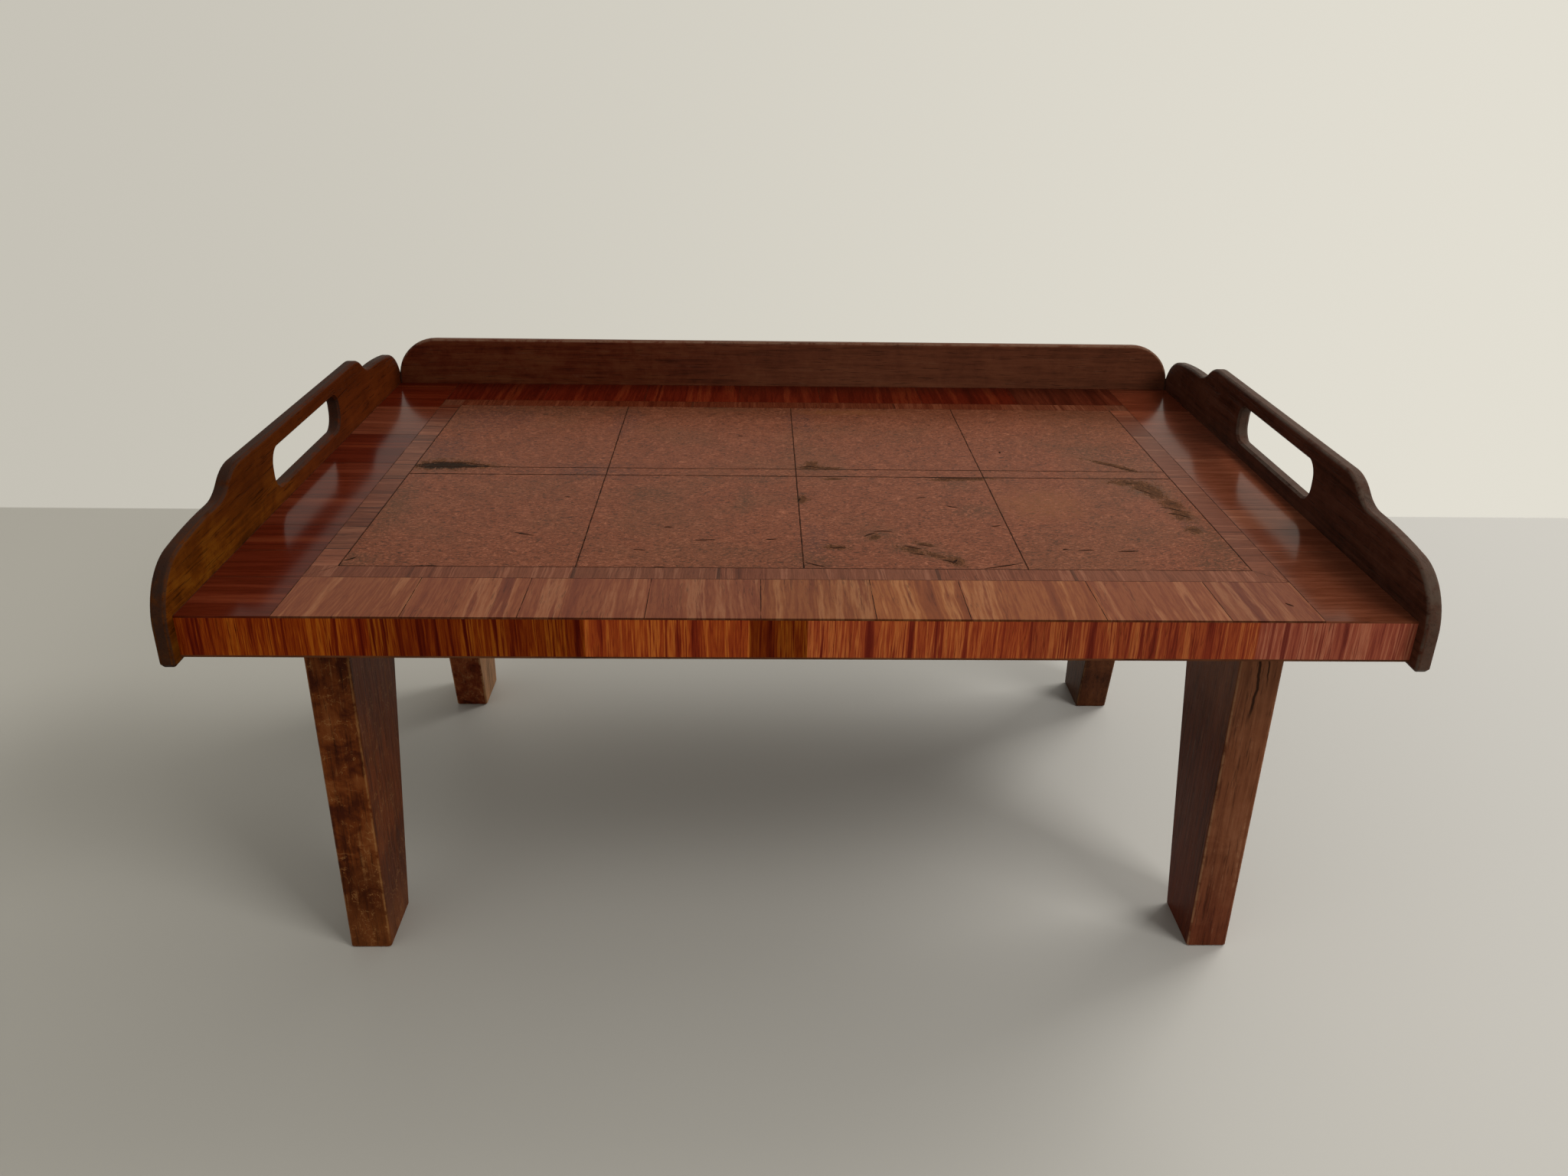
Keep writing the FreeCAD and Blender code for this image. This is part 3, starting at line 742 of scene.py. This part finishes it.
# boards, rail, legs and what is under the veneer
oakDials = {
    # on the boards and rail, worn and edge carry painted light as well as wear: painted shade on
    # the left board's narrow faces, a painted sheen on the right board's and on the rail's top
    "leftBoard": {
        "dark": tone(48, 20, 2), "plain": tone(79, 37, 4), "light": tone(102, 58, 10),
        "worn": tone(46, 32, 26), "wear": 0.8, "golden": 0.5, "edge": 0.9, "scratch": 0.12,
        "gloss": 0.015, "amber": (1.0, 0.6, 0.3),
        # axis, where it starts and is complete, how much, and its tone
        "fades": [("y", -0.18, 0.05, 0.9, tone(74, 29, 8)),
                  ("z", 0.345, 0.385, 0.7, tone(58, 22, 4))]},
    "rightBoard": {
        "dark": tone(40, 19, 10), "plain": tone(68, 36, 24), "light": tone(84, 50, 36),
        "worn": tone(78, 64, 54), "wear": 0.9, "golden": 0.2, "edge": 0.7, "scratch": 0.1},
    "rail": {
        "dark": tone(46, 15, 7), "plain": tone(78, 31, 15), "light": tone(92, 48, 26),
        "worn": tone(110, 84, 66), "wear": 0.8, "golden": 0.4, "edge": 0.4, "scratch": 0.15,
        "fades": [("x", -0.25, 0.10, 0.7, tone(96, 56, 38))]},
    "legFrontLeft": {
        "dark": tone(66, 26, 10), "plain": tone(104, 50, 18), "light": tone(126, 71, 34),
        "worn": tone(150, 104, 60), "sides": tone(104, 49, 18), "wear": 0.6, "golden": 0.6,
        "scratch": 0.45, "scrawl": 0.7, "mottle": 0.62,
        "fades": [("z", 0.13, 0.0, 0.4, tone(94, 42, 12)),
                  ("z", 0.10, 0.07, 0.5, tone(58, 25, 9)),
                  ("z", 0.050, 0.02, 0.5, tone(112, 62, 28))]},
    "legFrontRight": {
        "dark": tone(84, 44, 26), "plain": tone(110, 64, 40), "light": tone(132, 84, 58),
        "worn": tone(156, 114, 82), "sides": tone(80, 34, 15), "wear": 0.6,
        "scratch": 0.35, "mottle": 0.1,
        "fades": [("z", 0.12, 0.0, 0.6, tone(92, 38, 22)),
                  # the second fade is painted light: the upper leg is made lighter against the
                  # shade under the slab
                  ("z", 0.17, 0.27, 0.6, tone(128, 80, 54))],
        # x, lowest and highest z, and width of each split, in millimetres
        "cracks": [(346, 212, 310, 1.6), (353, 242, 300, 0.9), (341, 192, 204, 1.0)]},
    "legBackLeft": {
        "dark": tone(58, 22, 8), "plain": tone(98, 39, 18), "light": tone(130, 68, 36),
        "worn": tone(164, 124, 84), "sides": tone(150, 108, 72), "wear": 0.7, "golden": 0.5,
        "scratch": 0.5, "scrawl": 0.4, "mottle": 0.7},
    "legBackRight": {
        "dark": tone(46, 24, 14), "plain": tone(73, 39, 22), "light": tone(92, 53, 31),
        "worn": tone(118, 84, 54), "sides": tone(82, 52, 35), "wear": 0.6, "scratch": 0.3},
    "underside": {
        "dark": tone(60, 32, 18), "plain": tone(84, 48, 28), "light": tone(98, 60, 36)},
    "core": {
        "dark": tone(150, 118, 78), "plain": tone(176, 142, 98), "light": tone(192, 160, 116),
        "golden": 0.0},
    # what a board or leg has unless it says otherwise
    "usual": {"wear": 0.0, "edge": 0.0, "scratch": 0.0, "scrawl": 0.0, "golden": 0.3,
              "mottle": 0.3, "gloss": 0.05, "amber": clearLacquer, "fades": [], "cracks": []},
    # noises: scale, detail, roughness and twist
    "broad": (16.0, 3.0, 0.6, 0.9), "zones": (42.0, 3.0, 0.6, 0.9),
    "fibre": (210.0, 3.0, 0.7, 0.3), "pores": (720.0, 2.0, 0.6, 0.0),
    "patchy": (70.0, 4.0, 0.7, 0.8), "hairs": (420.0, 3.0, 0.75, 0.2),
    "scratches": (330.0, 4.0, 0.75, 0.6), "scrawls": (55.0, 3.0, 0.6, 1.5),
    "crackWay": (38.0, 3.0),
    # what these noises add to the seed of a board or leg
    "patchySeed": 4.0, "hairSeed": 2.0, "scratchSeed": 7.0, "scrawlSeed": 11.0,
    # masks: each goes from 0 at the first value to 1 at the second
    "goldenRange": (0.46, 0.64), "goldenPatches": (0.36, 0.60), "sideRange": (0.80, 0.95),
    "hairRange": (0.40, 0.58), "zoneRange": (0.35, 0.65), "poreRange": (0.57, 0.68),
    "scratchRange": (0.56, 0.68), "scratchPatches": (0.42, 0.58),
    "scrawlRange": (0.014, 0.003), "scrawlPatches": (0.46, 0.60),
    "wearRange": (0.985, 0.80), "wearPatches": (0.34, 0.56),
    "edgeRange": (0.5, 0.1), "edgePatches": (0.30, 0.62), "crackFacing": (0.7, 0.9),
    # how strongly each layer shows; mottle brings in the broad and patchy ones
    "weights": {"broad": 1.6, "zones": 0.7, "fibre": 1.2, "fibreLoss": 0.6, "patchy": 1.9},
    "heights": {"fibre": 0.5, "slits": 0.6, "broad": 0.4},
    "hairShare": 0.7, "zoneShare": 0.3, "sideLevel": 0.4, "sideShare": 0.9,
    "fadeLevel": 0.5, "poreShade": 0.4, "edgeShare": 0.5, "edgeLevel": 0.5,
    "toneStops": (0.22, 0.50, 0.82), "stretch": 0.05, "fadeWander": 0.05,
    "crackWander": 0.009, "crackCore": 0.35, "crackEnds": (20, 10), "crackShade": 0.8,
    "roughness": 0.42, "roughSwing": 0.25, "bump": 0.0003,
}


def oakCrack(paint, frontal, place, low, high, width):
    # one split in the front of a leg
    dials = oakDials
    way = paint.noise(paint.join(0.0, 0.0, paint.z), *dials["crackWay"])
    line = abs(paint.x - place + way.swing(dials["crackWander"]))
    crack = paint.ease(line, width, width * dials["crackCore"])
    crack = crack * paint.ease(frontal, *dials["crackFacing"])
    foot, head = mm(*dials["crackEnds"])
    return (crack * paint.ease(paint.z, low, low + foot)
            * paint.ease(paint.z, high, high - head))


def oakLook(name, grain, key, seed, *names):
    dials = oakDials
    look = {**dials["usual"], **dials[key]}
    paint = Paint(name).start()
    axes = {"x": paint.x, "y": paint.y, "z": paint.z}
    lie = paint.join(*[place * dials["stretch"] if axis == grain else place
                       for axis, place in axes.items()])
    broad = paint.noise(paint.place, *dials["broad"], seed)
    zones = paint.noise(lie, *dials["zones"], seed)
    fibre = paint.noise(lie, *dials["fibre"], seed)
    pores = paint.noise(lie, *dials["pores"], seed)
    patchy = paint.noise(paint.place, *dials["patchy"], seed + dials["patchySeed"])
    weights, mottle = dials["weights"], look["mottle"]
    figure = layered((broad, mottle * weights["broad"]), (zones, weights["zones"]),
                     (fibre, weights["fibre"] - mottle * weights["fibreLoss"]),
                     (patchy, mottle * weights["patchy"]))
    tints = [look["dark"], look["plain"], look["light"]]
    colour = paint.ramp(figure, list(zip(dials["toneStops"], tints)))
    facing = paint.node("ShaderNodeTexCoord", output="Normal")
    sideways, frontal, upward = [abs(part) for part in paint.split(facing)]
    golden = paint.ease(broad, *dials["goldenRange"])
    golden = golden * paint.ease(patchy, *dials["goldenPatches"])
    colour = paint.mix(golden * look["golden"], colour, look["light"])
    if "sides" in look:
        # the faces that look left or right get a colour of their own
        hairs = paint.noise(lie, *dials["hairs"], seed + dials["hairSeed"])
        lines = (paint.ease(hairs, *dials["hairRange"]) * dials["hairShare"]
                 + paint.ease(zones, *dials["zoneRange"]) * dials["zoneShare"])
        tint = paint.shade(look["sides"], lines + dials["sideLevel"])
        lateral = paint.ease(sideways, *dials["sideRange"])
        colour = paint.mix(lateral * dials["sideShare"], colour, tint)
    for axis, low, high, most, faded in look["fades"]:
        tint = paint.shade(faded, figure + dials["fadeLevel"])
        reach = paint.ease(axes[axis] + patchy.swing(dials["fadeWander"]), low, high)
        colour = paint.mix(reach * most, colour, tint)
    slits = paint.ease(pores, *dials["poreRange"])
    colour = paint.shade(colour, 1.0 - slits * dials["poreShade"])
    if look["scratch"]:
        scratch = paint.noise(lie, *dials["scratches"], seed + dials["scratchSeed"])
        scratch = paint.ease(scratch, *dials["scratchRange"])
        scratch = scratch * paint.ease(patchy, *dials["scratchPatches"])
        colour = paint.mix(scratch * look["scratch"], colour, look["worn"])
    if look["scrawl"]:
        # pale curved scratches
        line = paint.noise(paint.place, *dials["scrawls"], seed + dials["scrawlSeed"])
        line = paint.ease(abs(line - noiseMiddle), *dials["scrawlRange"])
        line = line * paint.ease(patchy, *dials["scrawlPatches"])
        colour = paint.mix(line * look["scrawl"], colour, look["worn"])
    if look["wear"]:
        # rounded corners, where no axis is faced squarely, are paler: partly rubbed wear and
        # partly a painted highlight along the arris
        squarely = sideways.most(frontal).most(upward)
        rubbedAndLit = paint.ease(squarely, *dials["wearRange"])
        rubbedAndLit = rubbedAndLit * paint.ease(patchy, *dials["wearPatches"])
        colour = paint.mix(rubbedAndLit * look["wear"], colour, look["worn"])
    if look["edge"]:
        # the narrow faces of a board take the worn tone: partly lost colour and partly painted
        # light, a painted sheen on the right board and rail and painted shade on the left board
        flat = frontal if grain == "x" else sideways
        rubbedAndLit = paint.ease(patchy, *dials["edgePatches"])
        rubbedAndLit = rubbedAndLit * dials["edgeShare"] + dials["edgeLevel"]
        narrowFaceWearAndLight = paint.ease(flat, *dials["edgeRange"]) * rubbedAndLit
        colour = paint.mix(narrowFaceWearAndLight * look["edge"], colour, look["worn"])
    for crack in look["cracks"]:
        shown = oakCrack(paint, frontal, *mm(*crack))
        colour = paint.shade(colour, 1.0 - shown * dials["crackShade"])
    roughness = dials["roughness"] + fibre.swing(dials["roughSwing"])
    heights = dials["heights"]
    height = fibre * heights["fibre"] - slits * heights["slits"] + broad * heights["broad"]
    dress(paint.finish(colour, roughness, look["gloss"], height, dials["bump"],
                       look["amber"]), *names)


# the look of each piece, the way that its grain runs, and its node
oakPieces = [
    ("leftBoard", "y", "left_end_board"), ("rightBoard", "y", "right_end_board"),
    ("rail", "x", "back_rail"), ("legFrontLeft", "z", "leg_front_left"),
    ("legFrontRight", "z", "leg_front_right"), ("legBackLeft", "z", "leg_back_left"),
    ("legBackRight", "z", "leg_back_right"),
]
for pieceSeed, (key, grain, node) in enumerate(oakPieces, 1):
    oakLook("oak" + key[0].upper() + key[1:], grain, key, float(pieceSeed), node)
oakLook("undersideVeneer", "x", "underside", 8.0, "underside_veneer")
oakLook("coreBoard", "x", "core", 9.0, "top_core")
oakLook("looseTongues", "x", "core", 10.0, "left_board_tongue", "right_board_tongue",
        "back_rail_tongue")
print("solid wood finished")


# floor, wall and light
roomDials = {
    # floor tones, left and right: painted light, a little lighter on the left to even out how the
    # lamps light it
    "floorLeft": tone(187, 183, 172), "floorRight": tone(183, 180, 173),
    "floorRange": (-0.9, 0.9), "floorTurn": 0.15, "floorRoughness": 0.45, "floorGloss": 0.15,
    "halfLength": 30.0, "near": -12.0, "far": 50.0,    # how far the floor runs, in metres
    "wallLeft": tone(197, 193, 182), "wallRight": tone(227, 223, 211),
    "wallRange": (-0.75, 0.75), "wallNearest": 0.2,
    "wallFoot": 0.766,             # where the floor turns into wall, in metres
    "viewerBack": 1.0,             # how far before the table the wall is seen from
    # how much light comes from each side of the room; behind on the left there is none
    "glow": {"backRight": 1.30, "frontLeft": 0.66, "frontRight": 0.14},
    "glowTint": (1.0, 0.985, 0.95), "rightRange": (-0.7, 0.7), "backRange": (-0.6, 0.9),
    # power in watts, size and place in metres
    "rightBack": {"power": 44.0, "size": 1.25, "place": (2.05, 1.22, 2.14)},
    "rightFront": {"power": 35.0, "size": 1.1, "place": (1.63, -1.51, 2.0)},
    "aim": (0.0, 0.0, 0.2),
}
cameraDials = {
    # angles in degrees, sensor in millimetres, place in metres
    "imageWidth": 2048.0, "focalPixels": 1612.2, "sensor": 36.0,
    "pitch": 24.79, "yaw": -1.50, "roll": -0.936,
    "place": (-0.0328, -1.0343, 0.7021),
}


def wallPaintedLight(paint, x, y, dials):
    # the wall is painted light: it glows, darker on the left and lighter on the right where the
    # room's light falls
    side = paint.ease(x / y.most(dials["wallNearest"]), *dials["wallRange"])
    return paint.mix(side, dials["wallLeft"], dials["wallRight"])


def seenRays(paint):
    # 1 for rays that show the background: camera, glossy and transmission rays
    kinds = paint.outlets(paint.node("ShaderNodeLightPath"))
    return kinds["Is Camera Ray"].most(kinds["Is Glossy Ray"]).most(
        kinds["Is Transmission Ray"])


def makeFloor(dials):
    halfX, near, far = dials["halfLength"], dials["near"], dials["far"]
    mesh = bpy.data.meshes.new("floor")
    mesh.from_pydata([(-halfX, near, 0), (halfX, near, 0), (halfX, far, 0), (-halfX, far, 0)],
                     [], [(0, 1, 2, 3)])
    floor = bpy.data.objects.new("floor", mesh)
    bpy.context.scene.collection.objects.link(floor)
    paint = Paint("floorAndWall").start()
    # painted light: the floor's tone shifts from left to right to even out how light falls on it
    side = paint.ease(paint.x + paint.y * dials["floorTurn"], *dials["floorRange"])
    colour = paint.mix(side, dials["floorLeft"], dials["floorRight"])
    ground = paint.node("ShaderNodeBsdfPrincipled", {},
                        {"Base Color": colour, "Roughness": dials["floorRoughness"],
                         "Specular IOR Level": dials["floorGloss"]})
    # beyond its foot the floor shows the wall as painted light, glowing for camera, glossy and
    # transmission rays
    wall = paint.node("ShaderNodeEmission", {}, {
        "Color": wallPaintedLight(paint, paint.x, paint.y + dials["viewerBack"], dials)})
    beyond = (paint.y > dials["wallFoot"]) * seenRays(paint)
    surface = paint.node("ShaderNodeMixShader", {}, {0: beyond, 1: ground, 2: wall})
    paint.node("ShaderNodeOutputMaterial", {}, {0: surface})
    mesh.materials.append(paint.material)


def makeWorld(dials):
    world = bpy.data.worlds.new("room")
    bpy.context.scene.world = world
    paint = Paint("room", world)
    x, y, z = paint.split(paint.node("ShaderNodeTexCoord", output="Generated"))
    shown = paint.node("ShaderNodeBackground", {}, {"Color": wallPaintedLight(paint, x, y, dials)})
    glow = {place: tuple(part * strength for part in dials["glowTint"])
            for place, strength in dials["glow"].items()}
    right = paint.ease(x, *dials["rightRange"])
    behind = paint.mix(right, (0.0, 0.0, 0.0), glow["backRight"])
    ahead = paint.mix(right, glow["frontLeft"], glow["frontRight"])
    lit = paint.node("ShaderNodeBackground", {}, {
        "Color": paint.mix(paint.ease(y, *dials["backRange"]), ahead, behind)})
    sky = paint.node("ShaderNodeMixShader", {}, {0: seenRays(paint), 1: lit, 2: shown})
    paint.node("ShaderNodeOutputWorld", {}, {0: sky})


def makeLamp(name, dials):
    lamp = bpy.data.lights.new(name, "AREA")
    lamp.energy = dials["power"]
    lamp.size = dials["size"]
    holder = bpy.data.objects.new(name, lamp)
    holder.location = dials["place"]
    aim = Vector(roomDials["aim"]) - Vector(dials["place"])
    holder.rotation_euler = aim.to_track_quat("-Z", "Y").to_euler()
    holder.visible_glossy = False
    bpy.context.scene.collection.objects.link(holder)


def makeCamera(dials):
    pitch, yaw, roll = [math.radians(dials[key]) for key in ("pitch", "yaw", "roll")]
    turn = Matrix.Rotation(yaw, 3, "Z")
    level = turn @ Vector((1, 0, 0))
    ahead = turn @ Vector((0, math.cos(pitch), -math.sin(pitch)))
    drop = ahead.cross(level)
    right = math.cos(roll) * level + math.sin(roll) * drop
    down = math.cos(roll) * drop - math.sin(roll) * level
    camera = bpy.data.cameras.new("camera")
    camera.sensor_width = dials["sensor"]
    camera.lens = dials["focalPixels"] / dials["imageWidth"] * dials["sensor"]
    holder = bpy.data.objects.new("camera", camera)
    axes = Matrix((right, -down, -ahead)).transposed()
    holder.matrix_world = Matrix.Translation(dials["place"]) @ axes.to_4x4()
    bpy.context.scene.collection.objects.link(holder)
    bpy.context.scene.camera = holder


makeFloor(roomDials)
makeWorld(roomDials)
for lampPlace in ("rightBack", "rightFront"):
    makeLamp(lampPlace + "Light", roomDials[lampPlace])
makeCamera(cameraDials)
bpy.context.scene.view_settings.view_transform = "Standard"
print("room, light and camera set")
